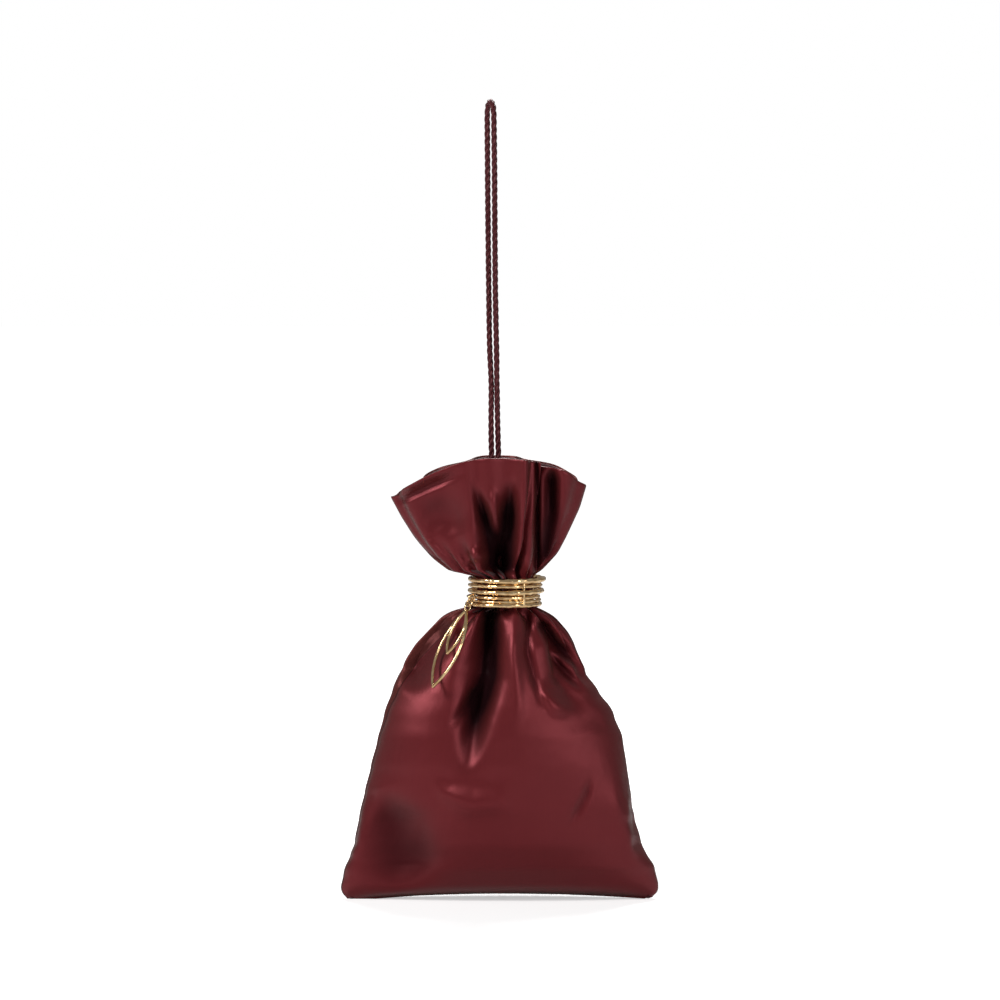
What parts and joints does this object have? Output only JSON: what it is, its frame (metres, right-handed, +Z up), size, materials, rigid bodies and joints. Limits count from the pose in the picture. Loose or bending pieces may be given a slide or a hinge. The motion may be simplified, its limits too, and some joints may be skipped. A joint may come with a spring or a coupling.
{
  "type": "evening pouch",
  "caption": "Gathered satin evening pouch with a flared mouth, a sliding gold ring cuff at the neck, a leaf charm and a long twisted cord loop.",
  "frame": {"origin": "inside the crown of the cord loop, where a wrist or hook holds the pouch", "axes": "+Z up the hanging cord, -Y out of the front of the pouch, +X to the right as seen from the front"},
  "size_m": [0.1744, 0.0638, 0.4399],
  "materials": {
    "satin": "burgundy duchess satin, soft gloss, with a slight brown shot",
    "lining": "plain matt lining cloth",
    "cord": "twisted rayon cord",
    "gold": "polished pale gold plating, hammered"
  },
  "bodies": {
    "pouch": {"front_panel": "satin", "back_panel": "satin", "front_frill": "satin", "back_frill": "satin", "lining": "lining", "mouth_facing": "lining", "cord": "cord", "cord_tab": "lining"},
    "sliding_cuff": {"cuff": "gold"},
    "hanging_ring": {"jump_ring": "gold"},
    "hanging_charm": {"charm": "gold"}
  },
  "joints": [
    {"name": "cuff_slide", "type": "slide", "parent": "pouch", "child": "sliding_cuff", "axis": [0, 0, 1], "range_m": [0, 0.13], "deforming": ["front_frill", "back_frill", "mouth_facing"]},
    {"name": "ring_swing", "type": "hinge", "parent": "sliding_cuff", "child": "hanging_ring", "pos_m": [-0.01054, -0.01397, -0.27044], "axis": [-0.6018, 0.7986, 0], "range_deg": [0, 100]},
    {"name": "charm_sway", "type": "hinge", "parent": "hanging_ring", "child": "hanging_charm", "pos_m": [-0.01143, -0.01464, -0.27245], "axis": [-0.6985, -0.5264, 0.4848], "range_deg": [-25, 45]}
  ]
}
